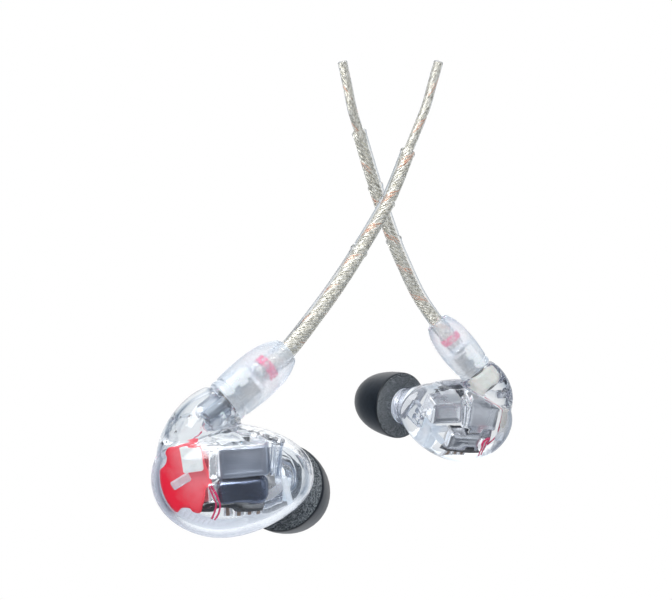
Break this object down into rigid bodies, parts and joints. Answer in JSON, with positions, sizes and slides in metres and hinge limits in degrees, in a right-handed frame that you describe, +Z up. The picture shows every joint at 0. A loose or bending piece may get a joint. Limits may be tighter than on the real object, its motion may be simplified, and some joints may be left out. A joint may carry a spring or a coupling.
{
  "type": "in-ear monitors",
  "caption": "Wired in-ear monitors with clear shells, swivelling plugs in soft boots, formable ear-hook cables that cross, and foam ear tips.",
  "frame": {"origin": "centre of the left lead's cut end, where the lead's straight end stops", "axes": "+Z up as the pair hangs from its leads, +X from the left earphone to the right one, +Y from the left earphone's outer face towards its ear side"},
  "size_m": [0.0568, 0.0633, 0.075],
  "materials": {
    "clear_plastic": "clear polycarbonate, polished",
    "clear_soft": "clear flexible cable jacket",
    "frosted_boot": "frosted soft plastic",
    "foam": "slow-recovery foam, skinned outside",
    "soft_core": "soft tube",
    "steel": "drawn steel can",
    "dark_steel": "dark drawn steel can",
    "nickel": "nickel plate",
    "gold": "gold-plated contact",
    "cream_plastic": "moulded",
    "red_film": "translucent flexible circuit",
    "white_patch": "stiffener",
    "board": "solder mask and chips",
    "wire_red": "enamelled wire",
    "channel_red": "channel band",
    "braid": "tinned and bare copper strands"
  },
  "bodies": {
    "leads": {"left_lead_jacket": "clear_soft", "left_lead_core": "braid", "left_upper_sleeve": "clear_soft", "right_lead_jacket": "clear_soft", "right_lead_core": "braid", "right_upper_sleeve": "clear_soft"},
    "left_cable": {"left_cable_jacket": "clear_soft", "left_middle_sleeve": "clear_soft", "left_cable_core": "braid", "left_boot": "frosted_boot", "left_plug_shell": "nickel", "left_plug_pin": "gold", "left_channel_band": "channel_red"},
    "left_nozzle": {"left_nozzle_tube": "nickel", "left_nozzle_screen": "steel"},
    "left_collar": {"left_nozzle_collar": "clear_plastic"},
    "left_tip": {"left_ear_tip_core": "soft_core", "left_ear_tip_foam": "foam"},
    "left_earphone": {"left_outer_shell": "clear_plastic", "left_inner_shell": "clear_plastic", "left_jack_holder": "cream_plastic", "left_jack_contacts": "gold", "left_bass_driver": "dark_steel", "left_second_bass_driver": "dark_steel", "left_mid_treble_drivers": "steel", "left_driver_end_plates": "nickel", "left_flex_stiffeners": "white_patch", "left_damping_pad": "white_patch", "left_filter_plates": "steel", "left_flex_circuit": "red_film", "left_crossover": "board", "left_driver_carrier": "clear_plastic", "left_hookup_wires": "wire_red"},
    "right_cable": {"right_cable_jacket": "clear_soft", "right_middle_sleeve": "clear_soft", "right_cable_core": "braid", "right_boot": "frosted_boot", "right_plug_shell": "nickel", "right_plug_pin": "gold", "right_channel_band": "channel_red"},
    "right_nozzle": {"right_nozzle_tube": "nickel", "right_nozzle_screen": "steel"},
    "right_collar": {"right_nozzle_collar": "clear_plastic"},
    "right_tip": {"right_ear_tip_core": "soft_core", "right_ear_tip_foam": "foam"},
    "right_earphone": {"right_outer_shell": "clear_plastic", "right_inner_shell": "clear_plastic", "right_jack_holder": "cream_plastic", "right_jack_contacts": "gold", "right_bass_driver": "dark_steel", "right_second_bass_driver": "dark_steel", "right_mid_treble_drivers": "steel", "right_driver_end_plates": "nickel", "right_flex_stiffeners": "white_patch", "right_damping_pad": "white_patch", "right_filter_plates": "steel", "right_flex_circuit": "red_film", "right_crossover": "board", "right_driver_carrier": "clear_plastic", "right_hookup_wires": "wire_red"}
  },
  "joints": [
    {"name": "left_cable_bend", "type": "hinge", "parent": "leads", "child": "left_cable", "pos_m": [-0.00837, -0.002, -0.0228], "axis": [0, 1, 0], "range_deg": [-15, 35]},
    {"name": "left_swivel", "type": "hinge", "parent": "left_cable", "child": "left_earphone", "pos_m": [-0.03175, -0.0217, -0.05268], "axis": [0.6854, 0.4502, 0.5723], "continuous": true},
    {"name": "left_nozzle_slide", "type": "slide", "parent": "left_earphone", "child": "left_nozzle", "axis": [0.2493, 0.8825, -0.3989], "range_m": [0, 0.002]},
    {"name": "left_collar_turn", "type": "hinge", "parent": "left_nozzle", "child": "left_collar", "pos_m": [-0.02725, -0.0208, -0.06218], "axis": [0.2493, 0.8825, -0.3989], "range_deg": [0, 720.5]},
    {"name": "left_tip_pull", "type": "slide", "parent": "left_nozzle", "child": "left_tip", "axis": [0.2493, 0.8825, -0.3989], "range_m": [0, 0.007]},
    {"name": "right_cable_bend", "type": "hinge", "parent": "leads", "child": "right_cable", "pos_m": [-0.01015, 0.0046, -0.0192], "axis": [0, 1, 0], "range_deg": [-35, 15]},
    {"name": "right_swivel", "type": "hinge", "parent": "right_cable", "child": "right_earphone", "pos_m": [0.0087, 0.013, -0.05165], "axis": [-0.632, -0.055, 0.773], "continuous": true},
    {"name": "right_nozzle_slide", "type": "slide", "parent": "right_earphone", "child": "right_nozzle", "axis": [-0.5911, 0.8064, 0.0138], "range_m": [0, 0.002]},
    {"name": "right_collar_turn", "type": "hinge", "parent": "right_nozzle", "child": "right_collar", "pos_m": [0.00201, 0.0153, -0.05948], "axis": [-0.5911, 0.8064, 0.0138], "range_deg": [0, 720.5]},
    {"name": "right_tip_pull", "type": "slide", "parent": "right_nozzle", "child": "right_tip", "axis": [-0.5911, 0.8064, 0.0138], "range_m": [0, 0.007]}
  ],
  "couplings": [
    {"joint": "left_collar_turn", "follows": "left_nozzle_slide", "rad_per_m": 6283.2},
    {"joint": "right_collar_turn", "follows": "right_nozzle_slide", "rad_per_m": 6283.2}
  ]
}
